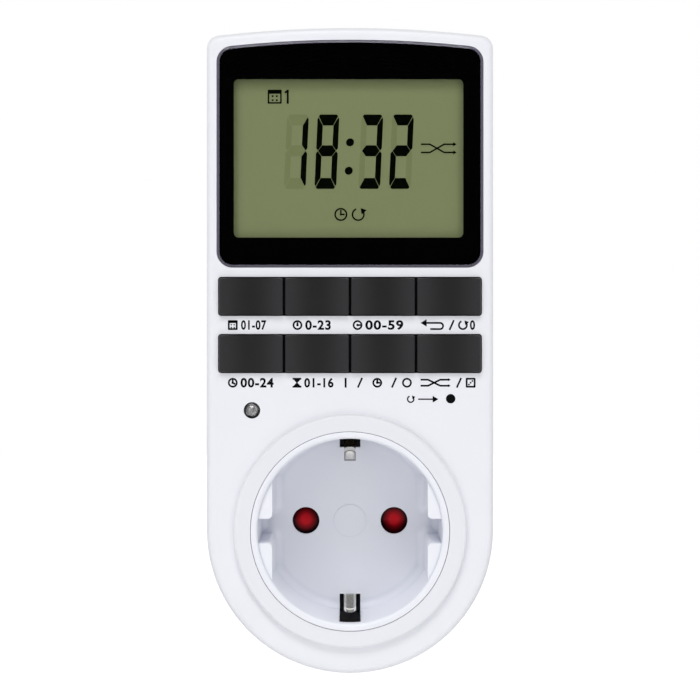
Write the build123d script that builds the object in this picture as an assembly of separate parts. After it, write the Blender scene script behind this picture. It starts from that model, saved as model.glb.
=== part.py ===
from build123d import *

import math
import os

# Digital plug-in timer. The origin is on the axis of the socket and of the plug,
# on the back face of the housing. +X is to the right as seen from the front,
# +Y goes into the wall socket and +Z is up. All sizes are in millimetres.

# Housing
body_width = 59.1
body_depth = 38.0
top_height = 103.6
top_arch_radius = 236.0
top_corner_radius = 2.7
smallest_corner = 0.5
front_edge_radius = 1.5
back_edge_radius = 2.0
side_wall = 2.2
front_wall = 2.5
back_wall = 2.2
rear_cover_depth = 17.0
seam_chamfer = 0.25
lip_height = 1.6
lip_clearance = 0.1

# Standard plug and socket system
pin_spacing = 19.0
pin_diameter = 4.8
pin_length = 19.0
pin_tip_radius = 1.6
plug_diameter = 36.8
plug_depth = 17.5
plug_flat_cut = 2.4
plug_key_width = 4.6
plug_key_cut = 0.5
plug_edge_radius = 1.2
plug_wall = 2.4
plug_end_wall = 3.0
recess_radius = 19.0
recess_depth = 17.5
pin_hole_diameter = 5.8

# Socket insert
collar_height = 1.2
collar_radius = 24.0
collar_round = 0.7
collar_dish = 0.2
insert_radius = 20.4
insert_clearance = 0.1
rim_round_inner = 0.7
rim_round_outer = 0.2
floor_thickness = 2.0
floor_corner_radius = 1.6
rib_flat_half = 16.0
rib_notch_width = 5.1
rib_notch_round = 0.8
rib_step = 0.8
flange_radius = 22.0
flange_thickness = 1.4
flange_clearance = 0.1
flange_overlap = 0.5
earth_window_width = 4.45
earth_window_inner_radius = 15.8
earth_window_step = 2.3
pivot_radius = 2.0
floor_disc_radius = 3.45
floor_disc_height = 0.12
pin_hole_lip = 0.7
pin_pocket_radius = 3.9

# Shutter behind the pin holes
shutter_thickness = 1.8
shutter_play = 0.15
shutter_hub_radius = 4.2
shutter_wing_length = 3.6
shutter_wing_half_angle = 20.5
shutter_arm_half_width = 2.6
pivot_clearance = 0.06
shutter_spring_thickness = 0.3
shutter_spring_width = 1.4
shutter_ramp_angle = 20.0
spring_root_radius = 18.1
spring_root_angle = 216.0
spring_tip_radius = 12.0
spring_tip_angle = 202.5
skirt_inner_radius = 18.2

# Contacts and carrier
carrier_radius = 16.6
carrier_clearance = 0.2
carrier_plate = 2.0
foot_inner = 14.2
foot_outer = 16.0
foot_half = 3.0
earth_bar_thickness = 0.8
strip_bend = 0.7
contact_thickness = 0.7
contact_gap_angle = 50.0
contact_setback = 1.2
contact_tail_width = 3.0
contact_clearance = 0.1
pin_entry_clearance = 0.35
pin_seat_clearance = 0.05
pin_root_radius = 2.6
pin_head_gap = 0.6
pin_head_thickness = 2.0
pin_tail_radius = 1.6
pin_tail_length = 5.0
strap_thickness = 0.8
strap_width = 4.0
strap_wall_gap = 1.6
strap_edge = 1.2
strap_setback = 1.0
tail_overlap = 3.0

# Earth clips
earth_finger_width = 2.45
earth_apex_radius = 13.8
earth_apex_depth = 6.7
earth_tip_radius = 16.8
earth_tip_depth = 2.7
plug_clip_width = 4.0
plug_clip_sink = 0.6
plug_slot_y = 2.8
plug_slot_end_y = 15.0
plug_slot_depth = 2.9
clip_side_gap = 0.2
earth_leg_radius = 17.2
earth_knee_rise = 1.0
earth_finger_bend = 1.0
earth_tip_round = 1.1
earth_tip_reach = 0.5
fillet_tolerance = 0.01
rivet_gap = 0.05
earth_pad_radius = 3.2
rivet_head_radius = 2.4
rivet_head_height = 0.6
earth_rivet_radius = 1.5

# Display
window_side_margin = 2.2
window_top_margin = 2.7
window_bottom = 54.2
window_corner_radius = 3.2
window_thickness = 1.4
window_bevel_width = 0.5
window_bevel_depth = 0.2
window_clearance = 0.1
mask_thickness = 0.12
mask_side_border = 3.65
mask_top_border = 7.85
mask_bottom_border = 6.15
mask_opening_centre_x = -0.3
mask_opening_corner = 1.0
view_margin = 0.7
lcd_side_border = 1.3
lcd_top_border = 0.9
lcd_bottom_border = 1.7
lcd_thickness = 2.0
lcd_gap = 0.2
reflector_thickness = 0.3
holder_wall = 1.0
holder_back = 1.0
holder_clearance = 0.1
contact_strip_depth = 1.8
contact_strip_inset = 0.4
contact_strip_end_inset = 1.7
holder_foot_radius = 1.5
holder_foot_side_inset = 0.7
holder_foot_end_inset = 6.5

# Keys
key_columns = 4
key_row_margin = 2.675
key_gap = 0.45
key_height = 7.55
key_row_step = 11.75
upper_row_height = 48.2
key_proud = 1.0
key_corner_radius = 0.4
key_edge_bevel = 0.25
key_dish_depth = 0.35
key_slot_clearance = 0.25
key_flange_thickness = 1.0
key_flange_lip = 1.0
key_flange_gap = 0.3
key_seat_gap = 0.1
key_stem_width = 5.0
key_stem_height = 3.6
mat_thickness = 1.0
mat_margin = 0.6
dome_height = 1.8
dome_base_radius = 3.0
dome_top_radius = 2.2
dome_wall = 0.45
dome_top_wall = 0.6

# Reset button and status lamp
reset_side_gap = 8.85
reset_z = 27.15
reset_hole_radius = 0.98
reset_clearance = 0.08
reset_sink = 0.5
reset_flange_radius = 1.6
reset_flange_thickness = 0.6
reset_switch_size = 3.6
reset_switch_height = 1.5
reset_switch_plunger = 0.4
reset_switch_gap = 0.45
lamp_side_gap = 9.39
lamp_z = 24.76
lamp_radius = 1.5
lamp_hole_radius = 1.7
lamp_proud = 0.3
lamp_length = 5.2
lamp_flange_radius = 1.9
lamp_flange_thickness = 1.0
lamp_lead_size = 0.5
lamp_lead_spacing = 2.54

# Boards and what they carry
board_thickness = 1.6
board_side_gap = 1.6
logic_board_gap = 5.1
logic_board_bottom = 21.5
logic_board_top_gap = 14.1
logic_screw_edge = 2.1
logic_screw_low_inset = 13.75
logic_screw_high_z = 55.5
logic_screw_low_z = 28.4
socket_bite_gap = 2.0
power_board_gap = 3.0
power_board_bottom = 26.5
power_board_top_gap = 12.6
power_screw_side = 3.35
power_screw_end = 3.1
relay_width = 19.0
relay_height = 15.5
relay_depth = 15.3
film_capacitor_width = 18.0
film_capacitor_height = 7.0
film_capacitor_depth = 13.0
can_capacitor_radius = 4.0
can_capacitor_length = 11.5
varistor_radius = 5.0
varistor_thickness = 3.6
lead_length = 1.5
lying_gap = 0.3
fuse_radius = 2.2
fuse_length = 10.0
diode_radius = 1.3
diode_length = 4.6
battery_radius = 5.8
battery_thickness = 5.4
chip_cover_radius = 6.0
chip_cover_height = 1.2
crystal_radius = 1.0
crystal_length = 6.0
header_pins = 8
header_pin_step = 2.54
header_pin_size = 0.64
header_block = 2.5
header_inset = 7.5
diode_row_drop = 12.0
diode_row_side = 13.75
diode_row_step = 4.5
diode_count = 4
relay_side = 13.75
fuse_side = 7.25
varistor_side = 7.75
battery_drop = 16.0
chip_drop = 22.0
crystal_drop = 8.0

# Screws
case_screw_radius = 1.5
case_screw_length = 14.0
case_screw_head_radius = 2.5
case_screw_head_height = 1.9
case_screw_recess_depth = 8.0
case_screw_floor = 2.0
case_boss_radius = 2.4
case_tube_radius = 3.6
case_screw_high_side = 5.75
case_screw_high_drop = 6.0
case_screw_low_edge = 4.65
case_screw_low_angle = 45.0
head_clearance = 0.25
shank_clearance = 0.15
board_screw_radius = 1.0
board_screw_length = 4.4
board_screw_head_radius = 1.9
board_screw_head_height = 1.2
board_post_radius = 1.8
thread_clearance = 0.05

# Planes and places that follow from the sizes above
front_y = -body_depth
seam_y = -rear_cover_depth
cover_inner_y = front_y + front_wall
back_inner_y = -back_wall
body_half = body_width / 2
rim_y = front_y - collar_height
floor_y = rim_y + recess_depth
floor_back_y = floor_y + floor_thickness
shutter_y = floor_back_y + shutter_play
shutter_back_y = shutter_y + shutter_thickness
carrier_y = shutter_back_y + shutter_play
earth_bar_y = back_inner_y - earth_bar_thickness
carrier_back_y = earth_bar_y - carrier_clearance
pin_x = pin_spacing / 2
pin_radius = pin_diameter / 2
plug_radius = plug_diameter / 2
plug_inner_radius = plug_radius - plug_wall
plug_flat_half = plug_radius - plug_flat_cut
plug_key_reach = plug_radius - plug_key_cut
plug_slot_floor = plug_radius - plug_slot_depth
pin_head_radius = plug_flat_half - plug_wall - pin_x - pin_head_gap
strap_outer_x = pin_x + strap_width / 2
strap_rise = math.sqrt(plug_inner_radius**2 - strap_outer_x**2) - strap_wall_gap
plug_end_inner_y = plug_depth - plug_end_wall
window_top = top_height - window_top_margin
mask_opening_width = body_width - 2 * (window_side_margin + mask_side_border)
mask_opening_low = window_bottom + mask_bottom_border
mask_opening_high = window_top - mask_top_border
mask_opening_height = mask_opening_high - mask_opening_low
mask_opening_centre_z = (mask_opening_low + mask_opening_high) / 2
contact_strip_width = mask_opening_width - 2 * contact_strip_end_inset
holder_foot_x = mask_opening_width / 2 - holder_foot_side_inset
window_back_y = front_y + window_thickness
mask_back_y = window_back_y + mask_thickness
lcd_y = cover_inner_y + lcd_gap
lcd_back_y = lcd_y + lcd_thickness
reflector_back_y = lcd_back_y + reflector_thickness
holder_back_y = reflector_back_y + holder_back
logic_board_y = cover_inner_y + logic_board_gap
logic_board_back_y = logic_board_y + board_thickness
power_board_back_y = back_inner_y - power_board_gap
power_board_y = power_board_back_y - board_thickness
key_face_y = front_y - key_proud
key_flange_y = cover_inner_y + key_seat_gap
key_flange_back_y = key_flange_y + key_flange_thickness
contact_outer_radius = pin_radius + contact_thickness
mat_y = logic_board_y - mat_thickness
dome_top_y = mat_y - dome_height
key_pitch = (body_width - 2 * key_row_margin + key_gap) / key_columns
key_width = key_pitch - key_gap
key_row_heights = [upper_row_height, upper_row_height - key_row_step]
key_column_places = [key_pitch * (i - (key_columns - 1) / 2) for i in range(key_columns)]
reset_x = body_half - reset_side_gap
lamp_x = lamp_side_gap - body_half
case_screw_high_x = body_half - case_screw_high_side
case_screw_low_radius = body_half - case_screw_low_edge
case_screw_high_z = top_height - case_screw_high_drop
low_screw_x = case_screw_low_radius * math.sin(math.radians(case_screw_low_angle))
low_screw_z = -case_screw_low_radius * math.cos(math.radians(case_screw_low_angle))
case_screw_places = [
    (-case_screw_high_x, case_screw_high_z),
    (case_screw_high_x, case_screw_high_z),
    (-low_screw_x, low_screw_z),
    (low_screw_x, low_screw_z),
]
case_screw_seat_y = -case_screw_recess_depth
case_boss_back_y = case_screw_seat_y - case_screw_floor
board_half = body_half - side_wall - board_side_gap
logic_board_top = top_height - logic_board_top_gap
power_board_top = top_height - power_board_top_gap
logic_screw_places = []
power_screw_places = []
for side in (-1, 1):
    logic_screw_places.append((side * (board_half - logic_screw_edge), logic_screw_high_z))
    logic_screw_places.append((side * (board_half - logic_screw_low_inset), logic_screw_low_z))
    for screw_z in (power_board_bottom + power_screw_end, power_board_top - power_screw_end):
        power_screw_places.append((side * (board_half - power_screw_side), screw_z))
relay_place = (relay_side - board_half, 45.0)
film_capacitor_place = (11.0, 39.5)
can_capacitor_place = (7.5, 52.0)
varistor_place = (board_half - varistor_side, 53.0)
fuse_place = (fuse_side - board_half, 61.5)
header_place = (0.0, logic_board_top - header_inset)
diode_row_x = diode_row_side - board_half
diode_row_z = header_place[1] - diode_row_drop
diode_places = [(diode_row_x + i * diode_row_step, diode_row_z) for i in range(diode_count)]
battery_place = (12.0, header_place[1] - battery_drop)
chip_place = (-10.0, header_place[1] - chip_drop)
crystal_place = (-10.0, header_place[1] - crystal_drop)


on_its_foot = (Align.CENTER, Align.CENTER, Align.MIN)


def at_depth(y):
    """Plane for outlines drawn in X and Z at one depth. Its normal points at the viewer."""
    return Plane.XZ.offset(-y)


def slab(outline, front, back):
    """Solid between two depths with an outline drawn in X and Z."""
    return extrude(at_depth(back) * outline, back - front)


def moved(shape, x, z):
    """Outline moved across the front."""
    return Pos(x, z) * shape


def disc(radius, front, back, x=0.0, z=0.0):
    """Round solid along Y between two depths."""
    return slab(moved(Circle(radius), x, z), front, back)


def block(low_x, high_x, front, back, low_z, high_z):
    """Box given by its limits."""
    size = (high_x - low_x, back - front, high_z - low_z)
    centre = ((low_x + high_x) / 2, (front + back) / 2, (low_z + high_z) / 2)
    return Pos(*centre) * Box(*size)


def edges_at(shape, y):
    """Edges of a solid that lie in one plane across the depth."""
    return shape.edges().filter_by_position(Axis.Y, y - 0.001, y + 0.001)


def housing_outline(inset=0.0):
    """Round bottom, straight sides and a shallow arch on top, drawn in by an inset."""
    half = body_half - inset
    top = top_height - inset
    arch_radius = top_arch_radius - inset
    outline = Circle(half) + Pos(0, top / 2) * Rectangle(2 * half, top)
    outline &= Pos(0, top - arch_radius) * Circle(arch_radius)
    corners = outline.vertices().group_by(Axis.Y)[-1]
    return fillet(corners, max(top_corner_radius - inset, smallest_corner))


def window_outline(growth=0.0):
    """The display window, whose top edge follows the arch of the housing."""
    half = body_half - window_side_margin + growth
    top = window_top + growth
    bottom = window_bottom - growth
    arch_radius = top_arch_radius - window_top_margin + growth
    outline = Pos(0, (top + bottom) / 2) * Rectangle(2 * half, top - bottom)
    outline &= Pos(0, top - arch_radius) * Circle(arch_radius)
    return fillet(outline.vertices(), window_corner_radius + growth)


def mask_opening(growth=0.0):
    """The clear view in the black print, with its small corner radius."""
    width = mask_opening_width + 2 * growth
    height = mask_opening_height + 2 * growth
    shape = RectangleRounded(width, height, mask_opening_corner + growth)
    return moved(shape, mask_opening_centre_x, mask_opening_centre_z)


def lcd_outline(growth=0.0):
    """The glass of the display, deeper below the view than above it."""
    width = mask_opening_width + 2 * (lcd_side_border + growth)
    low = mask_opening_centre_z - mask_opening_height / 2 - lcd_bottom_border - growth
    high = mask_opening_centre_z + mask_opening_height / 2 + lcd_top_border + growth
    return moved(Rectangle(width, high - low), mask_opening_centre_x, (low + high) / 2)


def key_row_slot(row_z):
    """The long slot of one row of keys."""
    width = key_pitch * (key_columns - 1) + key_width + 2 * key_slot_clearance
    height = key_height + 2 * key_slot_clearance
    return moved(RectangleRounded(width, height, key_corner_radius + key_slot_clearance), 0, row_z)


def front_boss(x, z):
    """Screw boss that runs into the wall in front of the seam and clears the lip behind it."""
    column = moved(Circle(case_boss_radius), x, z)
    turn_y = seam_y - lip_height - lip_clearance
    near = slab(column & housing_outline(side_wall / 2), cover_inner_y, turn_y)
    far = slab(column & housing_outline(side_wall + lip_clearance), turn_y, case_boss_back_y)
    return near + far


def front_cover():
    """Front shell with the window seat, key slots, collar, screw bosses and board posts."""
    cover = slab(housing_outline(), front_y, seam_y)
    cover = fillet(edges_at(cover, front_y), front_edge_radius)
    cover = chamfer(edges_at(cover, seam_y), seam_chamfer)
    cover -= slab(housing_outline(side_wall), cover_inner_y, seam_y)
    rebate_y = seam_y - lip_height - lip_clearance
    cover -= slab(housing_outline(side_wall / 2), rebate_y, seam_y)
    collar = disc(collar_radius, rim_y, cover_inner_y)
    cover += fillet(edges_at(collar, rim_y), collar_round)
    dish = Cone(collar_radius - collar_round, insert_radius, collar_dish, align=on_its_foot)
    cover -= Pos(0, rim_y, 0) * Rot(-90, 0, 0) * dish
    cover -= disc(insert_radius + insert_clearance, rim_y, cover_inner_y)
    cover -= slab(window_outline(window_clearance), front_y, mask_back_y)
    cover -= slab(mask_opening(view_margin), mask_back_y, cover_inner_y)
    for row_z in key_row_heights:
        cover -= slab(key_row_slot(row_z), front_y, cover_inner_y)
    cover -= disc(reset_hole_radius, front_y, cover_inner_y, reset_x, reset_z)
    cover -= disc(lamp_hole_radius, front_y, cover_inner_y, lamp_x, lamp_z)
    for x, z in case_screw_places:
        cover += front_boss(x, z)
        pilot_end = case_screw_seat_y - case_screw_length - thread_clearance
        cover -= disc(case_screw_radius + thread_clearance, pilot_end, case_boss_back_y, x, z)
    for x, z in logic_screw_places:
        cover += disc(board_post_radius, cover_inner_y, logic_board_y, x, z)
        pilot_end = logic_board_back_y - board_screw_length - thread_clearance
        cover -= disc(board_screw_radius + thread_clearance, pilot_end, logic_board_y, x, z)
    return cover


def plug_outline():
    """Round plug body with a flat and a central key on each side."""
    body = Circle(plug_radius) & Rectangle(2 * plug_flat_half, plug_diameter)
    keys = Circle(plug_key_reach) & Rectangle(plug_diameter, plug_key_width)
    return body + keys


def plug_cavity_outline():
    """Hollow inside the plug body."""
    return Circle(plug_inner_radius) & Rectangle(2 * (plug_flat_half - plug_wall), plug_diameter)


def rear_cover():
    """Rear shell with its lip, screw tubes, board posts and the plug body."""
    cover = slab(housing_outline(), seam_y, 0)
    cover = fillet(edges_at(cover, 0), back_edge_radius)
    cover = chamfer(edges_at(cover, seam_y), seam_chamfer)
    cover -= slab(housing_outline(side_wall), seam_y, back_inner_y)
    lip_outline = housing_outline(side_wall / 2 + lip_clearance) - housing_outline(side_wall)
    cover += slab(lip_outline, seam_y - lip_height, seam_y + lip_height)
    plug = slab(plug_outline(), back_inner_y, plug_depth)
    cover += fillet(edges_at(plug, plug_depth), plug_edge_radius)
    cover -= slab(plug_cavity_outline(), back_inner_y, plug_end_inner_y)
    slot_half = plug_clip_width / 2 + clip_side_gap
    slot_depth = plug_radius - plug_slot_floor
    for side in (-1, 1):
        cover -= disc(pin_root_radius + pin_seat_clearance, plug_end_inner_y, plug_depth, side * pin_x)
        middle = side * (plug_radius - slot_depth / 2)
        low, high = middle - slot_depth / 2, middle + slot_depth / 2
        cover -= block(-slot_half, slot_half, plug_slot_y, plug_slot_end_y, low, high)
    for x, z in case_screw_places:
        tube = moved(Circle(case_tube_radius), x, z) & housing_outline(side_wall / 2)
        cover += slab(tube, case_boss_back_y, back_inner_y)
        hole_radius = case_screw_head_radius + head_clearance
        cover -= disc(hole_radius, case_screw_seat_y, 0, x, z)
        cover -= disc(case_screw_radius + shank_clearance, case_boss_back_y, 0, x, z)
    for x, z in power_screw_places:
        cover += disc(board_post_radius, power_board_back_y, back_inner_y, x, z)
        pilot_end = power_board_y + board_screw_length + thread_clearance
        cover -= disc(board_screw_radius + thread_clearance, power_board_back_y, pilot_end, x, z)
    return cover


def recess_outline():
    """The socket's recess with a guide rib, notched in the middle, on each side."""
    room = Circle(recess_radius)
    open_part = room & Rectangle(2 * rib_flat_half, 2 * recess_radius)
    notches = room & Rectangle(2 * recess_radius, rib_notch_width)
    outline = open_part + notches
    corners = outline.vertices().filter_by(
        lambda v: abs(abs(v.X) - rib_flat_half) < 0.001 and abs(v.Y) < rib_notch_width
    )
    return fillet(corners, rib_notch_round)


def socket_insert():
    """White cup with guide ribs, pin holes, earth windows and the pivot of the shutter."""
    cup = disc(insert_radius, rim_y, carrier_y)
    cup = fillet(edges_at(cup, rim_y), rim_round_outer)
    cup -= disc(recess_radius, rim_y, rim_y + rib_step)
    inner_rim = edges_at(cup, rim_y).sort_by(SortBy.RADIUS)[0]
    cup = fillet(inner_rim, rim_round_inner)
    room = slab(recess_outline(), rim_y + rib_step, floor_y)
    cup -= fillet(edges_at(room, floor_y), floor_corner_radius)
    cup -= disc(skirt_inner_radius, floor_back_y, carrier_y)
    flange_y = cover_inner_y + flange_clearance
    flange = Circle(flange_radius) - Circle(insert_radius - flange_overlap)
    cup += slab(flange, flange_y, flange_y + flange_thickness)
    cup += disc(pivot_radius, floor_back_y, carrier_y)
    half = earth_window_width / 2
    window_y = rim_y + earth_window_step
    for side in (-1, 1):
        cup -= disc(pin_hole_diameter / 2, floor_y, floor_back_y, side * pin_x)
        cup -= disc(pin_pocket_radius, floor_y + pin_hole_lip, floor_back_y, side * pin_x)
        low, high = sorted((side * earth_window_inner_radius, side * 2 * flange_radius))
        cup -= block(-half, half, window_y, carrier_y, low, high)
    return cup + disc(floor_disc_radius, floor_y - floor_disc_height, floor_y)


def shutter_wing():
    """Sector that covers one pin hole, joined to the hub by an arm."""
    reach = pin_x + shutter_wing_length
    arms = Rectangle(2 * reach, 2 * shutter_arm_half_width)
    spread = math.tan(math.radians(shutter_wing_half_angle)) * reach
    cone = Polygon((0, 0), (reach, -spread), (reach, spread), align=None)
    sector = cone + Rot(0, 0, 180) * cone
    sector -= Circle(pin_x - shutter_wing_length)
    return (sector + arms) & Circle(reach)


def shutter():
    """Red rotary shutter: a hub with two wings whose ramps the plug's pins push aside."""
    plate = shutter_wing() + Circle(shutter_hub_radius) - Circle(pivot_radius + pivot_clearance)
    solid = slab(plate, shutter_y, shutter_back_y)
    reach = pin_x + shutter_wing_length
    ramp = Box(reach, reach, reach, align=(Align.MIN, Align.MAX, Align.MAX))
    ramp = Rot(shutter_ramp_angle, 0, 0) * Pos(pin_x - shutter_wing_length, 0, 0) * ramp
    for turn in (0, 180):
        solid -= Pos(0, shutter_y, 0) * Rot(0, turn, 0) * ramp
    return solid


def shutter_spring():
    """Leaf spring from the skirt of the insert to the edge of one wing."""
    start = Vector(spring_root_radius, 0).rotate(Axis.Z, spring_root_angle)
    end = Vector(spring_tip_radius, 0).rotate(Axis.Z, spring_tip_angle)
    length = (end - start).length
    angle = math.degrees(math.atan2(end.Y - start.Y, end.X - start.X))
    leaf = Rectangle(length, shutter_spring_thickness, align=(Align.MIN, Align.CENTER))
    leaf = Pos(start.X, start.Y) * Rot(0, 0, angle) * leaf
    middle = (shutter_y + shutter_back_y) / 2
    return slab(leaf, middle - shutter_spring_width / 2, middle + shutter_spring_width / 2)


def folded_strip(path, thickness, width, x=0.0, bend=strip_bend):
    """Metal strip bent along a middle line of (y, z) points, as wide as stated in X."""
    middle_line = FilletPolyline(*path, radius=bend)
    return extrude(Plane.YZ.offset(x - width / 2) * trace(middle_line, thickness), width)


def socket_earth_strap():
    """Earth strap of the socket: a bar behind the carrier and a sprung finger on each side."""
    bar = earth_bar_y + earth_bar_thickness / 2
    leg = earth_leg_radius
    half_path = [
        (rim_y + earth_tip_depth, earth_tip_radius),
        (rim_y + earth_apex_depth, earth_apex_radius + earth_bar_thickness / 2),
        (floor_y - earth_knee_rise, leg),
        (bar, leg),
    ]
    path = half_path + [(y, -z) for y, z in reversed(half_path)]
    strap = folded_strip(path, earth_bar_thickness, earth_finger_width, bend=earth_finger_bend)
    tips = strap.edges().filter_by(
        lambda e: e.center().Y < rim_y + earth_tip_depth + earth_tip_reach
        and abs(e.length - earth_bar_thickness) < fillet_tolerance
    )
    strap = fillet(tips, earth_tip_round)
    strap += disc(earth_pad_radius, earth_bar_y, back_inner_y)
    return strap - disc(earth_rivet_radius + rivet_gap, earth_bar_y, back_inner_y)


def plug_earth_strap():
    """Earth strap of the plug: a bar across the plug body and a contact on each side."""
    leg = plug_radius - plug_clip_sink - earth_bar_thickness / 2
    end = plug_slot_end_y - clip_side_gap
    bar = plug_slot_y + clip_side_gap + earth_bar_thickness / 2
    path = [(end, leg), (bar, leg), (bar, -leg), (end, -leg)]
    strap = folded_strip(path, earth_bar_thickness, plug_clip_width)
    hole = disc(earth_rivet_radius + rivet_gap, bar - earth_bar_thickness, bar + earth_bar_thickness)
    return strap - hole


def earth_rivet():
    """Rivet that joins the two earth straps, with a shoulder between them and a head at each end."""
    back = plug_slot_y + clip_side_gap + earth_bar_thickness
    front_head = disc(rivet_head_radius, earth_bar_y - rivet_head_height, earth_bar_y)
    back_head = disc(rivet_head_radius, back, back + rivet_head_height)
    shoulder = disc(rivet_head_radius, back_inner_y, back - earth_bar_thickness)
    return front_head + disc(earth_rivet_radius, earth_bar_y, back) + shoulder + back_head


def contact_carrier():
    """Insulating block behind the shutter with a pocket for each contact."""
    plate_back_y = carrier_y + carrier_plate
    carrier = disc(insert_radius, carrier_y, plate_back_y)
    carrier += disc(carrier_radius, plate_back_y, carrier_back_y)
    slot_half = earth_finger_width / 2 + carrier_clearance
    leg_front = earth_leg_radius - earth_bar_thickness / 2 - carrier_clearance
    contact_y = carrier_y + contact_setback
    tail_front = power_board_y - contact_thickness - contact_clearance
    tail_half = contact_tail_width / 2 + contact_clearance
    head_room = earth_bar_y - rivet_head_height - carrier_clearance
    carrier -= disc(rivet_head_radius + carrier_clearance, head_room, carrier_back_y)
    for side in (-1, 1):
        low, high = sorted((side * leg_front, side * (insert_radius + 1)))
        carrier -= block(-slot_half, slot_half, carrier_y, carrier_back_y, low, high)
        x = side * pin_x
        carrier -= disc(pin_radius + pin_entry_clearance, carrier_y, contact_y, x)
        pocket = contact_outer_radius + contact_clearance
        carrier -= disc(pocket, contact_y, carrier_back_y, x)
        carrier -= block(x - tail_half, x + tail_half, tail_front, carrier_back_y, 0, insert_radius)
        foot_low, foot_high = sorted((side * foot_inner, side * foot_outer))
        carrier += block(foot_low, foot_high, carrier_back_y, back_inner_y, -foot_half, foot_half)
    return carrier


def socket_contact(side):
    """Sprung C-shaped brass contact that grips a plug pin, with a tail up to the power board."""
    x = side * pin_x
    contact_y = carrier_y + contact_setback
    ring = Circle(contact_outer_radius) - Circle(pin_radius)
    half_gap = math.tan(math.radians(contact_gap_angle)) * contact_outer_radius
    foot = -contact_outer_radius
    ring -= Polygon((0, 0), (half_gap, foot), (-half_gap, foot), align=None)
    ring -= Pos(0, -contact_outer_radius) * Rectangle(2 * half_gap, contact_outer_radius)
    contact = slab(moved(ring, x, 0), contact_y, power_board_y)
    half = contact_tail_width / 2
    tail_front = power_board_y - contact_thickness
    tail_foot = pin_radius + contact_thickness / 2
    tail_top = power_board_bottom + tail_overlap
    return contact + block(x - half, x + half, tail_front, power_board_y, tail_foot, tail_top)


def plug_pin(side):
    """Round plug pin with a domed tip, a head inside the plug body and a tail for its strap."""
    x = side * pin_x
    shank = disc(pin_radius, plug_end_inner_y, plug_depth + pin_length, x)
    pin = fillet(edges_at(shank, plug_depth + pin_length), pin_tip_radius)
    head_y = plug_end_inner_y - pin_head_thickness
    pin += disc(pin_root_radius, plug_end_inner_y, plug_depth, x)
    pin += disc(pin_head_radius, head_y, plug_end_inner_y, x)
    return pin + disc(pin_tail_radius, head_y - pin_tail_length, head_y, x)


def inlet_strap(side):
    """Strap from the tail of a plug pin, forward through the back wall and up to the power board."""
    tail_y = plug_end_inner_y - pin_head_thickness - pin_tail_length + strap_setback
    rise_y = back_inner_y - strap_thickness / 2
    path = [
        (tail_y, -pin_tail_radius - strap_edge),
        (tail_y, strap_rise),
        (rise_y, strap_rise),
        (rise_y, power_board_bottom + tail_overlap),
        (power_board_back_y, power_board_bottom + tail_overlap),
    ]
    strap = folded_strip(path, strap_thickness, strap_width, side * pin_x)
    hole_radius = pin_tail_radius + rivet_gap
    return strap - disc(hole_radius, tail_y - strap_thickness, tail_y + strap_thickness, side * pin_x)


def display_window():
    """Clear window with a fine, shallow bevel round its front."""
    pane = slab(window_outline(), front_y, window_back_y)
    face = pane.faces().sort_by(Axis.Y)[0]
    return chamfer(face.edges(), window_bevel_width, window_bevel_depth, reference=face)


def window_mask():
    """Black print on the back of the window, open over the display."""
    return slab(window_outline() - mask_opening(), window_back_y, mask_back_y)


def lcd_panel():
    """Glass of the liquid crystal display."""
    return slab(lcd_outline(), lcd_y, lcd_back_y)


def strip_height_range():
    """Lowest and highest point of the contact strip behind the display's lower edge."""
    bottom = mask_opening_centre_z - mask_opening_height / 2 - lcd_bottom_border
    return bottom + contact_strip_inset, bottom + contact_strip_inset + contact_strip_depth


def lcd_reflector():
    """Reflective sheet behind the display, above the contact strip."""
    low = strip_height_range()[1] + holder_clearance
    sheet = lcd_outline() & Pos(0, low + body_width) * Rectangle(2 * body_width, 2 * body_width)
    return slab(sheet, lcd_back_y, reflector_back_y)


def lcd_holder():
    """Frame that holds the display against the front cover, with a slot for the contact strip."""
    frame = slab(lcd_outline(holder_clearance + holder_wall), cover_inner_y, holder_back_y)
    frame -= slab(lcd_outline(holder_clearance), cover_inner_y, reflector_back_y)
    low, high = strip_height_range()
    half = contact_strip_width / 2 + holder_clearance
    low_cut, high_cut = low - holder_clearance, high + holder_clearance
    frame -= block(-half, half, reflector_back_y, holder_back_y, low_cut, high_cut)
    for x in (-holder_foot_x, holder_foot_x):
        for z in (mask_opening_low + holder_foot_end_inset, mask_opening_high - holder_foot_end_inset):
            frame += disc(holder_foot_radius, holder_back_y, logic_board_y, x, z)
    return frame


def contact_strip():
    """Elastomer strip that joins the display to the logic board."""
    low, high = strip_height_range()
    half = contact_strip_width / 2
    return block(-half, half, lcd_back_y, logic_board_y, low, high)


def key(x, z):
    """Key cap with a dished face, a flange behind the front cover and a stem over its dome."""
    cap_outline = moved(RectangleRounded(key_width, key_height, key_corner_radius), x, z)
    cap = slab(cap_outline, key_face_y, key_flange_y)
    cap = chamfer(edges_at(cap, key_face_y), key_edge_bevel)
    half = key_width / 2
    dish_radius = half**2 / (2 * key_dish_depth) + key_dish_depth / 2
    dish_y = key_face_y + key_dish_depth - dish_radius
    cap -= Pos(x, dish_y, z) * Cylinder(dish_radius, 2 * key_height)
    flange = Rectangle(key_pitch - key_flange_gap, key_height + 2 * key_flange_lip)
    cap += slab(moved(flange, x, z), key_flange_y, key_flange_back_y)
    stem = moved(Rectangle(key_stem_width, key_stem_height), x, z)
    return cap + slab(stem, key_flange_back_y, dome_top_y)


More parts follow.
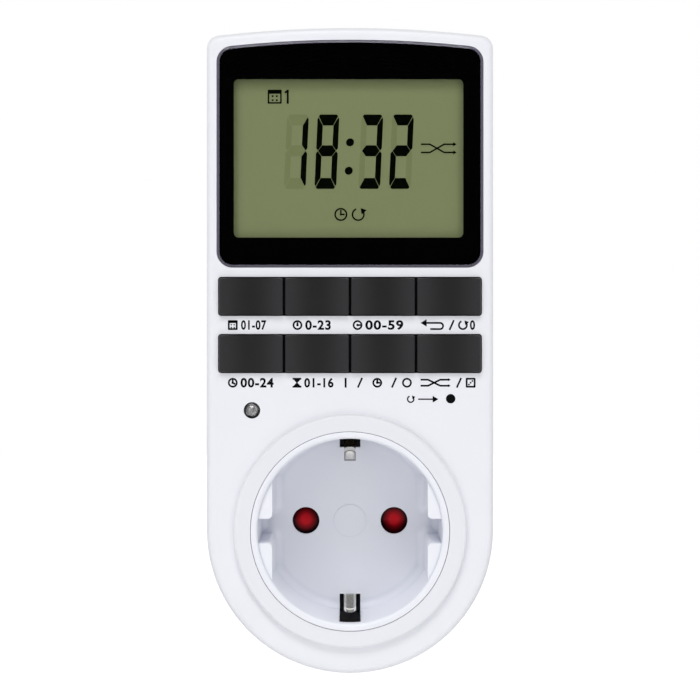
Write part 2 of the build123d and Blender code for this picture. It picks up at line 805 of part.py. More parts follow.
def keypad_mat():
    """Silicone sheet with a hollow dome under each key."""
    top = key_row_heights[0] + key_height / 2 + key_flange_lip + mat_margin
    bottom = key_row_heights[1] - key_height / 2 - key_flange_lip - mat_margin
    half = key_column_places[-1] + key_pitch / 2
    mat = block(-half, half, mat_y, logic_board_y, bottom, top)
    dome = Cone(dome_base_radius, dome_top_radius, dome_height, align=on_its_foot)
    inner_base = dome_base_radius - dome_wall
    inner_top = dome_top_radius - dome_wall
    inner_height = mat_thickness + dome_height - dome_top_wall
    hollow = Cone(inner_base, inner_top, inner_height, align=on_its_foot)
    for z in key_row_heights:
        for x in key_column_places:
            mat += Pos(x, mat_y, z) * Rot(90, 0, 0) * dome
            mat -= Pos(x, logic_board_y, z) * Rot(90, 0, 0) * hollow
    return mat


def reset_button():
    """Recessed reset button: a rod with a flange behind the front cover."""
    flange_y = cover_inner_y + key_seat_gap
    end_y = logic_board_y - reset_switch_height - reset_switch_gap
    rod = disc(reset_hole_radius - reset_clearance, front_y + reset_sink, end_y, reset_x, reset_z)
    flange_back_y = flange_y + reset_flange_thickness
    return rod + disc(reset_flange_radius, flange_y, flange_back_y, reset_x, reset_z)


def reset_switch():
    """Small switch on the logic board behind the reset button."""
    half = reset_switch_size / 2
    top = logic_board_y - reset_switch_height
    body_y = top + reset_switch_plunger
    body = block(reset_x - half, reset_x + half, body_y, logic_board_y, reset_z - half, reset_z + half)
    return body + disc(half / 2, top, body_y, reset_x, reset_z)


def status_lamp():
    """Three millimetre lamp with a domed end, a flange and two leads to the logic board."""
    tip = front_y - lamp_proud
    body_back = tip + lamp_length
    body = disc(lamp_radius, tip + lamp_radius, body_back, lamp_x, lamp_z)
    body += Pos(lamp_x, tip + lamp_radius, lamp_z) * Sphere(lamp_radius)
    body += disc(lamp_flange_radius, body_back - lamp_flange_thickness, body_back, lamp_x, lamp_z)
    half = lamp_lead_size / 2
    for side in (-1, 1):
        x = lamp_x + side * lamp_lead_spacing / 2
        body += block(x - half, x + half, body_back, logic_board_y, lamp_z - half, lamp_z + half)
    return body


def logic_board():
    """Board behind the display and the keys, cut away round the socket."""
    middle = (logic_board_bottom + logic_board_top) / 2
    outline = moved(Rectangle(2 * board_half, logic_board_top - logic_board_bottom), 0, middle)
    outline -= Circle(flange_radius + socket_bite_gap)
    for x, z in logic_screw_places:
        outline -= moved(Circle(board_screw_radius + shank_clearance), x, z)
    return slab(outline, logic_board_y, logic_board_back_y)


def power_board():
    """Board on the rear cover that carries the mains parts."""
    middle = (power_board_bottom + power_board_top) / 2
    outline = moved(Rectangle(2 * board_half, power_board_top - power_board_bottom), 0, middle)
    for x, z in power_screw_places:
        outline -= moved(Circle(board_screw_radius + shank_clearance), x, z)
    return slab(outline, power_board_y, power_board_back_y)


def on_power_board(width, height, depth, place, round_over):
    """Box-shaped part that stands on the front of the power board."""
    x, z = place
    outline = moved(RectangleRounded(width, height, round_over), x, z)
    return slab(outline, power_board_y - depth, power_board_y)


def can_capacitor():
    """Round capacitor that stands on the power board."""
    x, z = can_capacitor_place
    can = disc(can_capacitor_radius, power_board_y - can_capacitor_length, power_board_y, x, z)
    return fillet(edges_at(can, power_board_y - can_capacitor_length), 0.5)


def varistor():
    """Disc-shaped surge absorber on two leads."""
    x, z = varistor_place
    centre_y = power_board_y - lead_length - varistor_radius
    body = Pos(x, centre_y, z) * Rot(0, 90, 0) * Cylinder(varistor_radius, varistor_thickness)
    for side in (-1, 1):
        lead_z = z + side * varistor_radius / 2
        half = lamp_lead_size / 2
        body += block(x - half, x + half, centre_y, power_board_y, lead_z - half, lead_z + half)
    return body


def axial_part(radius, length, x, z):
    """Round part that lies along Z on the power board with a bent lead at each end."""
    centre_y = power_board_y - radius - lying_gap
    body = Pos(x, centre_y, z) * Cylinder(radius, length)
    half = lamp_lead_size / 2
    reach = length / 2 + lead_length
    body += block(x - half, x + half, centre_y - half, centre_y + half, z - reach, z + reach)
    for side in (-1, 1):
        low, high = sorted((z + side * (reach - lamp_lead_size), z + side * reach))
        body += block(x - half, x + half, centre_y, power_board_y, low, high)
    return body


def backup_battery():
    """Round cell behind the logic board."""
    x, z = battery_place
    cell = disc(battery_radius, logic_board_back_y, logic_board_back_y + battery_thickness, x, z)
    return fillet(edges_at(cell, logic_board_back_y + battery_thickness), 0.6)


def chip_cover():
    """Drop of black resin over the bare chip on the back of the logic board."""
    x, z = chip_place
    radius = (chip_cover_radius**2 + chip_cover_height**2) / (2 * chip_cover_height)
    top_y = logic_board_back_y + chip_cover_height
    ball = Pos(x, top_y - radius, z) * Sphere(radius)
    return ball & disc(chip_cover_radius, logic_board_back_y, top_y, x, z)


def quartz_crystal():
    """Small clock crystal lying on the back of the logic board."""
    x, z = crystal_place
    return Pos(x, logic_board_back_y + crystal_radius, z) * Cylinder(crystal_radius, crystal_length)


def board_header():
    """Pin header between the two boards."""
    x, z = header_place
    half_block = header_pins * header_pin_step / 2
    half_height = header_block / 2
    block_y = power_board_y - header_block
    low, high = z - half_height, z + half_height
    header = block(x - half_block, x + half_block, block_y, power_board_y, low, high)
    half = header_pin_size / 2
    for i in range(header_pins):
        pin_x_place = x + (i - (header_pins - 1) / 2) * header_pin_step
        left, right = pin_x_place - half, pin_x_place + half
        header += block(left, right, logic_board_back_y, block_y, z - half, z + half)
    return header


def case_screws():
    """Four screws from the back through the rear cover into the front cover."""
    screws = []
    for x, z in case_screw_places:
        head_y = case_screw_seat_y + case_screw_head_height
        head = disc(case_screw_head_radius, case_screw_seat_y, head_y, x, z)
        end = case_screw_seat_y - case_screw_length
        screws.append(head + disc(case_screw_radius, end, case_screw_seat_y, x, z))
    return Compound(children=screws)


def board_screws():
    """Four screws in each board: the logic board's from behind, the power board's from in front."""
    screws = []
    for x, z in logic_screw_places:
        seat = logic_board_back_y
        head = disc(board_screw_head_radius, seat, seat + board_screw_head_height, x, z)
        screws.append(head + disc(board_screw_radius, seat - board_screw_length, seat, x, z))
    for x, z in power_screw_places:
        seat = power_board_y
        head = disc(board_screw_head_radius, seat - board_screw_head_height, seat, x, z)
        screws.append(head + disc(board_screw_radius, seat, seat + board_screw_length, x, z))
    return Compound(children=screws)


def diodes():
    """Rectifier diodes in a row."""
    return Compound(children=[axial_part(diode_radius, diode_length, x, z) for x, z in diode_places])


parts = {
    "front_cover": front_cover(),
    "rear_cover": rear_cover(),
    "socket_insert": socket_insert(),
    "shutter": shutter(),
    "shutter_spring": shutter_spring(),
    "contact_carrier": contact_carrier(),
    "live_contact": socket_contact(-1),
    "neutral_contact": socket_contact(1),
    "socket_earth_strap": socket_earth_strap(),
    "plug_earth_strap": plug_earth_strap(),
    "earth_rivet": earth_rivet(),
    "live_pin": plug_pin(-1),
    "neutral_pin": plug_pin(1),
    "live_strap": inlet_strap(-1),
    "neutral_strap": inlet_strap(1),
    "display_window": display_window(),
    "window_mask": window_mask(),
    "lcd_panel": lcd_panel(),
    "lcd_reflector": lcd_reflector(),
    "lcd_holder": lcd_holder(),
    "contact_strip": contact_strip(),
    "keypad_mat": keypad_mat(),
    "reset_button": reset_button(),
    "reset_switch": reset_switch(),
    "status_lamp": status_lamp(),
    "logic_board": logic_board(),
    "chip_cover": chip_cover(),
    "quartz_crystal": quartz_crystal(),
    "backup_battery": backup_battery(),
    "power_board": power_board(),
    "relay": on_power_board(relay_width, relay_height, relay_depth, relay_place, 0.5),
    "film_capacitor": on_power_board(
        film_capacitor_width, film_capacitor_height, film_capacitor_depth, film_capacitor_place, 0.8
    ),
    "can_capacitor": can_capacitor(),
    "varistor": varistor(),
    "fuse": axial_part(fuse_radius, fuse_length, *fuse_place),
    "rectifier_diodes": diodes(),
    "board_header": board_header(),
    "case_screws": case_screws(),
    "board_screws": board_screws(),
}
for row_name, row_z in zip(("upper", "lower"), key_row_heights):
    for number, column_x in enumerate(key_column_places, start=1):
        parts[f"{row_name}_key_{number}"] = key(column_x, row_z)

os.makedirs("parts", exist_ok=True)
for name, solid in parts.items():
    export_step(solid, f"parts/{name}.step")
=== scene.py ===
"""Finish, printing, light and camera of the plug-in timer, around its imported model. Lengths are metres."""

import math

import bmesh
import bpy
from mathutils import Matrix, Vector


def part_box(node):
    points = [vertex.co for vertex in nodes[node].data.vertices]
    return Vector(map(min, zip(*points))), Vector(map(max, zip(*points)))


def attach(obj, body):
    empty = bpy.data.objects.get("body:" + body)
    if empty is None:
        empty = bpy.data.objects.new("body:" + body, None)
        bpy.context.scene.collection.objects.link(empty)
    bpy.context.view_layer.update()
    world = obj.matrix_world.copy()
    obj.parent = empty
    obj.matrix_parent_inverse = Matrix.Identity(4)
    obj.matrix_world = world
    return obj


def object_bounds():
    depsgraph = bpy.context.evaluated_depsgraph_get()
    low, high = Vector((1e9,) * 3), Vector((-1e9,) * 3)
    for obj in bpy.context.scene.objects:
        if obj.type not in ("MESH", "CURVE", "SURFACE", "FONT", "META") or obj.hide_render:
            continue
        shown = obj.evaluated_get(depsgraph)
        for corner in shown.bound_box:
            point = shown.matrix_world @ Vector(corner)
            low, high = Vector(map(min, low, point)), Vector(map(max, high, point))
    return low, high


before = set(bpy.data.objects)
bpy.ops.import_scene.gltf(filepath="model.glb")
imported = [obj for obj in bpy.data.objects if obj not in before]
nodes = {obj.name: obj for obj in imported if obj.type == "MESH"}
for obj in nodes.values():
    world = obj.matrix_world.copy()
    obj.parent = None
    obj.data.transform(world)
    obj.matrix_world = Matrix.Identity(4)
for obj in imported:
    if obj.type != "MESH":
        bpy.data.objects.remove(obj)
cad_low, cad_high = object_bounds()
scene = bpy.context.scene

mm = 0.001

# Photograph's view: a level camera in front of the face
photo_width = 700
photo_middle_row = 350
level_row = 310
pixels_per_metre = 4865.0
camera_distance = 330 * mm
camera_height = 45.4 * mm
sensor_width = 36.0

# Planes and places read from the frame
face_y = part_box("display_window")[0].y
lcd_low, lcd_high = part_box("lcd_panel")
lamp_low, lamp_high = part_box("status_lamp")
insert_front_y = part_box("socket_insert")[0].y

# Clear view of the display, inside the black print
mask_side_cover = 1.3 * mm
mask_top_cover = 0.9 * mm
view_middle_x = (lcd_low.x + lcd_high.x) / 2
view_half_width = (lcd_high.x - lcd_low.x) / 2 - mask_side_cover
view_top = lcd_high.z - mask_top_cover

# Spacing of the key columns
key_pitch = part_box("upper_key_2")[0].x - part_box("upper_key_1")[0].x

# Printing
ink_thickness = 0.02 * mm
ink_lift = 0.004 * mm
weld_distance = 0.001 * mm
dot_sides = 20
number_height_share = 0.729
bold_share = 0.044
letter_spacing = 1.12

# Printing under the keys and beside the reset hole
upper_label_z = 42.3 * mm
lower_label_z = 30.45 * mm
label_height = 2.0 * mm
label_stroke = 0.36 * mm
slash_lean = 0.45 * mm
column_left = (-25.1 * mm, -11.8 * mm, 0.55 * mm, 14.5 * mm)
reset_label_z = 27.07 * mm
reset_label_height = 1.55 * mm
reset_stroke = 0.27 * mm

# Time digits of the display
digit_height = 15.4 * mm
digit_width = 4.5 * mm
digit_pitch = 6.34 * mm
digit_slant = 0.045
flat_bar = 2.25 * mm
upright_bar = 1.15 * mm
segment_gap = 0.06 * mm
flat_end_cut = 0.24 * mm
flat_corner_cut = 0.32 * mm
middle_end_cut = 0.42 * mm
upright_side_cut = 1.0 * mm
upright_tip_cut = 0.55 * mm
upright_tip_inset = 0.2 * mm
middle_lift = 0.19 * mm
second_digit_x = -4.78 * mm
fourth_digit_x = 10.66 * mm
digit_middle_z = 78.2 * mm
colon_radius = 0.83 * mm
colon_x = -0.08 * mm
colon_spread = 5.88 * mm
colon_middle_z = 77.2 * mm

# Small signs of the display
sign_stroke = 0.32 * mm
day_z = 89.6 * mm
day_number_x = -12.9 * mm
state_z = 65.2 * mm
state_radius = 1.35 * mm

# Inside of the lamp, behind its front
lamp_cup_depth = 2.3 * mm

# Rolled edge of the earth fingers: a line down one side, round the tip and up the other
finger_tip_radius = 16.46 * mm
finger_slope = math.radians(33.02)
bead_radius = 0.14 * mm
bead_sides = 10
bead_side_x = 1.085 * mm
bead_length = 4.3 * mm
tip_bend_radius = 0.96 * mm
tip_flat_half = 0.125 * mm
tip_bend_steps = 8
least_bead_step = 0.01 * mm

# Raised pad of the upper earth finger
pad_down_slope = 1.5 * mm
pad_half_sizes = (1.0 * mm, 0.42 * mm, 1.35 * mm)
pad_rings = 14

# Light: the ambient strength, then each lamp's name, place, width, height and watts
ambient_light = 0.56
softboxes = (
    ("left_softbox", (-0.60, -0.70, 0.15), 0.40, 0.8, 0.95),
    ("right_softbox", (0.60, -0.70, 0.10), 0.40, 0.8, 0.9),
    ("top_softbox", (-0.08, -0.52, 0.82), 0.6, 0.3, 3.7),
    ("low_softbox", (0.0, -0.28, -0.30), 0.6, 0.25, 0.36),
    ("back_softbox", (0.5, 0.8, 0.5), 0.7, 0.7, 1.2),
)

# Floor under the object
floor_half_size = 4.0
floor_z = -0.35
floor_tone = 0.8
floor_glow = 0.8


def paint(red, green, blue):
    """Linear colour of screen values from 0 to 255."""
    def linear(value):
        share = value / 255
        if share <= 0.04045:
            return share / 12.92
        return ((share + 0.055) / 1.055) ** 2.4

    return (linear(red), linear(green), linear(blue), 1.0)


def add_node(tree, kind, inputs=None, **settings):
    """A node with its settings, and with its inputs set or linked."""
    node = tree.nodes.new("ShaderNode" + kind)
    for key, value in settings.items():
        setattr(node, key, value)
    for key, value in (inputs or {}).items():
        if isinstance(value, bpy.types.NodeSocket):
            tree.links.new(value, node.inputs[key])
        else:
            node.inputs[key].default_value = value
    return node


class Finish:
    """A material with one Principled shader, fed by patterns in the object's own space."""

    def __init__(self, name, **values):
        self.material = bpy.data.materials.new(name)
        self.material.use_nodes = True
        self.tree = self.material.node_tree
        self.shader = self.tree.nodes["Principled BSDF"]
        self.place = self.add("TexCoord").outputs["Object"]
        for label, value in values.items():
            self.shader.inputs[label.replace("_", " ")].default_value = value

    def add(self, kind, inputs=None, **settings):
        """A node of this material."""
        return add_node(self.tree, kind, inputs, **settings)

    def noise(self, size, detail=2.0, stretch=(1, 1, 1)):
        """Noise with blobs of about that size, drawn out along an axis by a small stretch."""
        scale = [share / size for share in stretch]
        mapping = self.add("Mapping", {"Vector": self.place, "Scale": scale})
        inputs = {"Vector": mapping.outputs["Vector"], "Scale": 1.0, "Detail": detail}
        return self.add("TexNoise", inputs).outputs["Fac"]

    def span(self, value, low, high, start=0.0, end=1.0):
        """Value taken from the range start to end into the range low to high."""
        inputs = {"Value": value, "From Min": start, "From Max": end, "To Min": low, "To Max": high}
        return self.add("MapRange", inputs).outputs["Result"]

    def mix(self, factor, first, second):
        """Colour between first and second."""
        node = self.add("Mix", {0: factor, 6: first, 7: second}, data_type="RGBA")
        return node.outputs[2]

    def axis(self, label):
        """One coordinate of the object's space."""
        return self.add("SeparateXYZ", {"Vector": self.place}).outputs[label]

    def maths(self, operation, first, second=0.0):
        """Result of one arithmetic step."""
        return self.add("Math", {0: first, 1: second}, operation=operation).outputs[0]

    def wave(self, operation, label, rate):
        """Sine or cosine along one axis, at a rate in radians per metre."""
        return self.maths(operation, self.maths("MULTIPLY", self.axis(label), rate))

    def crease(self, reach):
        """1 in the open, lower in corners and slots nearer than reach."""
        return self.add("AmbientOcclusion", {"Distance": reach}, samples=32).outputs["AO"]

    def colour(self, value):
        """Feeds the shader's colour."""
        self.tree.links.new(value, self.shader.inputs["Base Color"])

    def roughness(self, value):
        """Feeds the shader's roughness."""
        self.tree.links.new(value, self.shader.inputs["Roughness"])

    def relief(self, *layers):
        """Bumps from pairs of a height pattern and its depth in metres."""
        normal = None
        for height, depth in layers:
            bump = self.add("Bump", {"Height": height, "Distance": depth, "Strength": 1.0})
            if normal is not None:
                self.tree.links.new(normal, bump.inputs["Normal"])
            normal = bump.outputs["Normal"]
        self.tree.links.new(normal, self.shader.inputs["Normal"])


def moulded_plastic(
    name, light, dark, gloss, grain_size, grain_depth, crease=None, shade_along_y=None, haze=0.04, upward_shade=None, **values
):
    """Injection-moulded plastic: faint flow mottle, a fine grain, and painted shade where it is asked for.

    A crease shade is painted shade in corners: a colour, the reach of the corners, and the shares of open sky
    where it is full and gone.
    A shade along Y is painted shade that grows along Y: a colour, and the Y places where it starts and is
    full. Haze is how far the roughness varies about gloss, and the upward shade is the colour of painted
    shade on what faces up.
    """
    finish = Finish(name, **values)
    tone = finish.mix(finish.noise(7 * mm, 3.0), dark, light)
    # Painted shade that grows along Y, between the two given places
    if shade_along_y is not None:
        far, start_y, full_y = shade_along_y
        tone = finish.mix(finish.span(finish.axis("Y"), 0.0, 1.0, start_y, full_y), tone, far)
    # Painted shade on faces that look up
    if upward_shade is not None:
        normal = finish.add("NewGeometry").outputs["Normal"]
        facing_up = finish.add("SeparateXYZ", {"Vector": normal}).outputs["Z"]
        tone = finish.mix(finish.span(facing_up, 0.0, 1.0, 0.1, 0.8), tone, upward_shade)
    # Painted shade in corners and slots, from ambient occlusion
    if crease is not None:
        shade, reach, closed, opened = crease
        open_share = finish.span(finish.crease(reach), 0.0, 1.0, closed, opened)
        tone = finish.mix(open_share, shade, tone)
    finish.colour(tone)
    finish.roughness(finish.span(finish.noise(4 * mm, 1.0), gloss - haze, gloss + haze, 0.3, 0.7))
    finish.relief((finish.noise(grain_size, 3.0), grain_depth), (finish.noise(9 * mm), 0.01 * mm))
    return finish


def metal(name, light, dark, gloss, stretch=(1, 1, 1), **values):
    """Plated or drawn metal with fine streaks and faint stains."""
    finish = Finish(name, Metallic=1.0, **values)
    stain = finish.span(finish.noise(2.5 * mm, 4.0), 0.0, 1.0, 0.35, 0.7)
    finish.colour(finish.mix(stain, light, dark))
    streaks = finish.noise(0.08 * mm, 2.0, stretch)
    finish.roughness(finish.span(streaks, gloss - 0.06, gloss + 0.1, 0.3, 0.7))
    finish.relief((streaks, 0.002 * mm))
    return finish


def formed_nickel():
    """Nickel of the earth fingers: the lower one worn, with a painted highlight along its rolled edges, the
    upper one paler, with a painted shade at its bend.
    """
    finish = metal("formed_nickel", paint(232, 230, 222), paint(204, 201, 192), 0.24, (1, 0.08, 1))
    across = finish.maths("ABSOLUTE", finish.axis("X"))
    # Painted highlight along the rolled edges of the lower finger
    rolled_edge_highlight = finish.span(across, 0.0, 1.0, 0.72 * mm, 0.92 * mm)
    wear = finish.noise(0.35 * mm, 3.0)
    worn = finish.mix(wear, paint(150, 152, 144), paint(206, 205, 196))
    lower = finish.mix(rolled_edge_highlight, worn, paint(246, 245, 240))
    height = finish.axis("Z")
    # Painted shade at the bend of the upper finger
    bend_shade = finish.span(height, 1.0, 0.0, 14.1 * mm, 14.35 * mm)
    bright = finish.mix(wear, paint(206, 203, 196), paint(240, 238, 230))
    upper = finish.mix(bend_shade, bright, paint(96, 94, 98))
    above = finish.span(height, 0.0, 1.0, -1 * mm, 1 * mm)
    finish.colour(finish.mix(above, lower, upper))
    finish.relief((rolled_edge_highlight, 0.08 * mm), (wear, 0.01 * mm))
    return finish


def clear_pane():
    """Window sheet: straight-through with a Fresnel gloss, a bevel painted opaque violet grey as a painted
    reflection, and faint wiping marks.
    """
    finish = Finish("clear_window")
    finish.tree.nodes.remove(finish.shader)
    surface = finish.add("NewGeometry")
    true_normal = surface.outputs["True Normal"]
    facing = finish.maths("ABSOLUTE", finish.add("SeparateXYZ", {"Vector": true_normal}).outputs["Y"])
    off_front = finish.span(facing, 1.0, 0.0, 0.9, 0.97)
    off_side = finish.span(facing, 0.0, 1.0, 0.2, 0.3)
    slanted = finish.maths("MULTIPLY", off_front, off_side)
    through = finish.add("BsdfTransparent", {"Color": (0.985, 0.99, 0.985, 1.0)})
    marks = finish.span(finish.noise(1.5 * mm, 4.0, (1, 1, 0.15)), 0.02, 0.07, 0.4, 0.7)
    gloss = finish.add("BsdfGlossy", {"Roughness": marks, "Normal": true_normal})
    fresnel = finish.add("Fresnel", {"IOR": 1.45, "Normal": true_normal}).outputs[0]
    share = finish.maths("MULTIPLY", fresnel, finish.maths("SUBTRACT", 1.0, surface.outputs["Backfacing"]))
    sheet = finish.add("MixShader", {0: share, 1: through.outputs[0], 2: gloss.outputs[0]})
    # Painted reflection: the bevel is an opaque violet grey diffuse, in place of what the clear bevel
    # reflects
    bevel_paint = finish.add("BsdfDiffuse", {"Color": paint(118, 114, 132)})
    bevel_paint_share = finish.maths("MULTIPLY", slanted, 0.9)
    mixed = finish.add("MixShader", {0: bevel_paint_share, 1: sheet.outputs[0], 2: bevel_paint.outputs[0]})
    finish.tree.links.new(mixed.outputs[0], finish.tree.nodes["Material Output"].inputs["Surface"])
    return finish


def lcd_glass():
    """Olive display face, a little darker and greyer along its upper edge and its sides, a painted shade of
    the black print round it.
    """
    finish = Finish("display_face", IOR=1.3)
    # Painted shade of the black print along the upper edge and the sides
    across = finish.maths("ABSOLUTE", finish.maths("SUBTRACT", finish.axis("X"), view_middle_x))
    side = finish.span(across, 0.0, 1.0, view_half_width - 1.3 * mm, view_half_width + 0.3 * mm)
    top = finish.span(finish.axis("Z"), 0.0, 1.0, view_top - 1.2 * mm, view_top + 0.3 * mm)
    edge_shade = finish.maths("MAXIMUM", side, top)
    speckle = finish.span(finish.noise(0.25 * mm, 2.0), 0.0, 1.0, 0.3, 0.7)
    field = finish.mix(speckle, paint(125, 132, 93), paint(130, 137, 98))
    finish.colour(finish.mix(edge_shade, field, paint(122, 130, 94)))
    finish.roughness(finish.span(finish.noise(0.8 * mm), 0.5, 0.62))
    finish.relief((finish.noise(0.1 * mm), 0.002 * mm))
    return finish


def lcd_ink(name, dark, light):
    """Segment of the display: dense black, or the faint tone of one that is off."""
    finish = Finish(name, Specular_IOR_Level=0.0)
    finish.colour(finish.mix(finish.noise(0.4 * mm, 3.0), dark, light))
    finish.roughness(finish.span(finish.noise(0.2 * mm), 0.6, 0.8))
    finish.relief((finish.noise(0.15 * mm), 0.001 * mm))
    return finish


def key_plastic():
    """Black key caps with a fine grain, lighter towards each cap's sides as a painted sheen, and smoother in
    the middle.
    """
    finish = Finish("key_plastic", Specular_IOR_Level=0.6)
    # Painted sheen: lighter towards the sides of each cap, darker in its middle
    wave = finish.wave("COSINE", "X", 2 * math.pi / key_pitch)
    dark_middle = finish.mix(finish.noise(4 * mm, 3.0), paint(21, 21, 21), paint(24, 24, 24))
    finish.colour(finish.mix(finish.span(wave, 0.0, 1.0, -0.9, 0.9), dark_middle, paint(35, 34, 37)))
    finish.roughness(finish.span(wave, 0.38, 0.46, -1.0, 1.0))
    finish.relief((finish.noise(0.1 * mm, 3.0), 0.003 * mm))
    return finish


def striped_rubber():
    """Contact strip: thin black conducting layers in a pale silicone."""
    finish = Finish("layered_rubber", Roughness=0.55)
    layer_step = 0.1 * mm
    layer = finish.span(finish.wave("SINE", "X", 2 * math.pi / layer_step), 0.0, 1.0, -0.2, 0.2)
    finish.colour(finish.mix(layer, paint(28, 28, 30), paint(214, 190, 150)))
    finish.relief((finish.noise(0.2 * mm), 0.004 * mm))
    return finish


def circuit_board(name, mask, track, weave_size):
    """Board with tracks under the solder mask and the weave of its glass cloth."""
    finish = Finish(name, Coat_Weight=0.3, Coat_Roughness=0.15)
    fine_rate, coarse_rate = 5200.0, 3100.0
    across = finish.span(finish.wave("SINE", "X", fine_rate), 0.0, 1.0, -0.3, 0.0)
    up = finish.span(finish.wave("SINE", "Z", coarse_rate), 0.0, 1.0, 0.5, 0.7)
    zone = finish.span(finish.noise(11 * mm, 1.0), 0.0, 1.0, 0.48, 0.52)
    copper = finish.maths("MAXIMUM", finish.maths("MULTIPLY", across, zone), up)
    tone = finish.mix(finish.span(finish.noise(3 * mm), 0.0, 0.35), mask, paint(18, 40, 24))
    finish.colour(finish.mix(copper, tone, track))
    finish.roughness(finish.span(finish.noise(0.5 * mm), 0.3, 0.42))
    finish.relief((copper, 0.03 * mm), (finish.noise(weave_size, 1.0), 0.01 * mm))
    return finish


def can_sleeve():
    """Shrink sleeve of the can capacitor, with a pale stripe down one side."""
    finish = Finish("capacitor_sleeve")
    stripe = finish.span(finish.axis("X"), 0.0, 1.0, 10.4 * mm, 10.5 * mm)
    body = finish.mix(finish.noise(1.5 * mm, 3.0), paint(22, 24, 38), paint(30, 33, 52))
    finish.colour(finish.mix(stripe, body, paint(176, 180, 190)))
    finish.roughness(finish.span(finish.noise(0.7 * mm), 0.25, 0.4))
    finish.relief((finish.noise(0.3 * mm), 0.01 * mm))
    return finish


def diode_body():
    """Black moulding of the diodes."""
    finish = Finish("diode_moulding")
    finish.colour(finish.mix(finish.noise(0.5 * mm, 3.0), paint(24, 24, 26), paint(40, 40, 42)))
    finish.roughness(finish.span(finish.noise(0.2 * mm), 0.4, 0.55))
    finish.relief((finish.noise(0.12 * mm), 0.008 * mm))
    return finish


def lamp_resin():
    """Clear resin of the lamp, with a faint moulding haze."""
    finish = Finish(
        "lamp_resin", Transmission_Weight=1.0, IOR=1.53, Base_Color=(0.98, 0.94, 1.0, 1.0),
        Coat_Weight=1.0, Coat_Roughness=0.34, Coat_IOR=2.6,
    )
    finish.roughness(finish.span(finish.noise(0.5 * mm, 3.0), 0.0, 0.05, 0.4, 0.8))
    finish.relief((finish.noise(0.9 * mm), 0.01 * mm))
    return finish


# Housing: painted shade in its corners, on the raised collar round the socket, and on faces that look up
housing_white = moulded_plastic(
    "housing_plastic", paint(239, 240, 246), paint(236, 237, 243), 0.42, 0.16 * mm, 0.006 * mm,
    crease=(paint(170, 172, 182), 0.6 * mm, 0.05, 0.4),
    shade_along_y=(paint(234, 235, 241), face_y - 0.3 * mm, face_y - 0.9 * mm), upward_shade=paint(213, 214, 218),
)
# Socket insert: painted shade, darker towards the floor of the recess and in its corners and notches
insert_white = moulded_plastic(
    "socket_plastic", paint(241, 242, 249), paint(237, 239, 246), 0.42, 1.5 * mm, 0.001 * mm,
    shade_along_y=(paint(238, 240, 247), insert_front_y + 2 * mm, insert_front_y + 17 * mm), haze=0.01,
    crease=(paint(184, 188, 208), 3.5 * mm, 0.25, 0.85),
)
# Shutter: painted shade in its corners, a dark ring inside each pin hole
shutter_red = moulded_plastic(
    "shutter_plastic", paint(226, 8, 32), paint(208, 4, 24), 0.4, 0.3 * mm, 0.003 * mm,
    crease=(paint(24, 0, 10), 3 * mm, 0.5, 0.9), Specular_IOR_Level=0.2,
)
key_black = key_plastic()
mat_grey = moulded_plastic(
    "mat_silicone", paint(58, 60, 64), paint(46, 48, 52), 0.6, 0.2 * mm, 0.006 * mm,
    Subsurface_Weight=0.1, Subsurface_Radius=(0.002, 0.002, 0.002),
)
mask_black = lcd_ink("mask_ink", paint(0, 0, 0), paint(2, 2, 3))
holder_white = moulded_plastic(
    "holder_plastic", paint(226, 226, 222), paint(214, 214, 210), 0.45, 0.3 * mm, 0.006 * mm,
)
# Contact carrier: dark as its assumed own colour, and dark also as painted shade seen through the earth
# windows
carrier_plastic = moulded_plastic(
    "carrier_plastic", paint(38, 32, 44), paint(28, 24, 33), 0.45, 0.3 * mm, 0.008 * mm,
)
relay_blue = moulded_plastic(
    "relay_plastic", paint(38, 74, 128), paint(30, 62, 112), 0.3, 0.25 * mm, 0.004 * mm,
)
film_yellow = moulded_plastic(
    "film_capacitor_resin", paint(214, 166, 48), paint(198, 148, 38), 0.32, 0.4 * mm, 0.006 * mm,
)
varistor_blue = moulded_plastic(
    "varistor_resin", paint(46, 82, 150), paint(36, 66, 128), 0.3, 0.6 * mm, 0.02 * mm,
)
battery_green = moulded_plastic(
    "battery_sleeve", paint(70, 150, 84), paint(56, 132, 70), 0.28, 0.8 * mm, 0.01 * mm,
)
fuse_ceramic = moulded_plastic(
    "fuse_ceramic", paint(224, 216, 196), paint(210, 200, 178), 0.35, 0.15 * mm, 0.006 * mm,
)
header_black = moulded_plastic(
    "header_plastic", paint(30, 30, 32), paint(22, 22, 24), 0.45, 0.2 * mm, 0.006 * mm,
)
chip_black = moulded_plastic(
    "chip_resin", paint(22, 22, 24), paint(14, 14, 16), 0.22, 1.2 * mm, 0.03 * mm,
)
switch_black = moulded_plastic(
    "switch_plastic", paint(9, 9, 10), paint(6, 6, 7), 0.5, 0.2 * mm, 0.006 * mm,
    Specular_IOR_Level=0.1,
)
nickel = metal("nickel_plate", paint(206, 204, 198), paint(184, 181, 174), 0.22, (1, 0.08, 1))
finger_nickel = formed_nickel()
tinned_strip = metal("tinned_strip", paint(198, 196, 188), paint(168, 165, 156), 0.3, (1, 1, 0.08))
brass = metal("brass_strip", paint(205, 170, 96), paint(176, 138, 70), 0.3, (1, 1, 0.08))
spring_steel = metal("spring_steel", paint(190, 190, 194), paint(150, 150, 156), 0.28, (0.08, 1, 1))
screw_steel = metal("zinc_plate", paint(188, 190, 196), paint(150, 152, 160), 0.3)
crystal_can = metal("crystal_can", paint(196, 196, 196), paint(172, 172, 172), 0.3, (1, 0.1, 1))
reflector_foil = metal("reflector_foil", paint(206, 208, 200), paint(188, 190, 182), 0.45)
lead_frame_metal = metal("lead_frame", paint(188, 188, 186), paint(150, 150, 148), 0.25)
board_green = circuit_board("logic_board_laminate", paint(26, 84, 46), paint(52, 124, 66), 0.5 * mm)
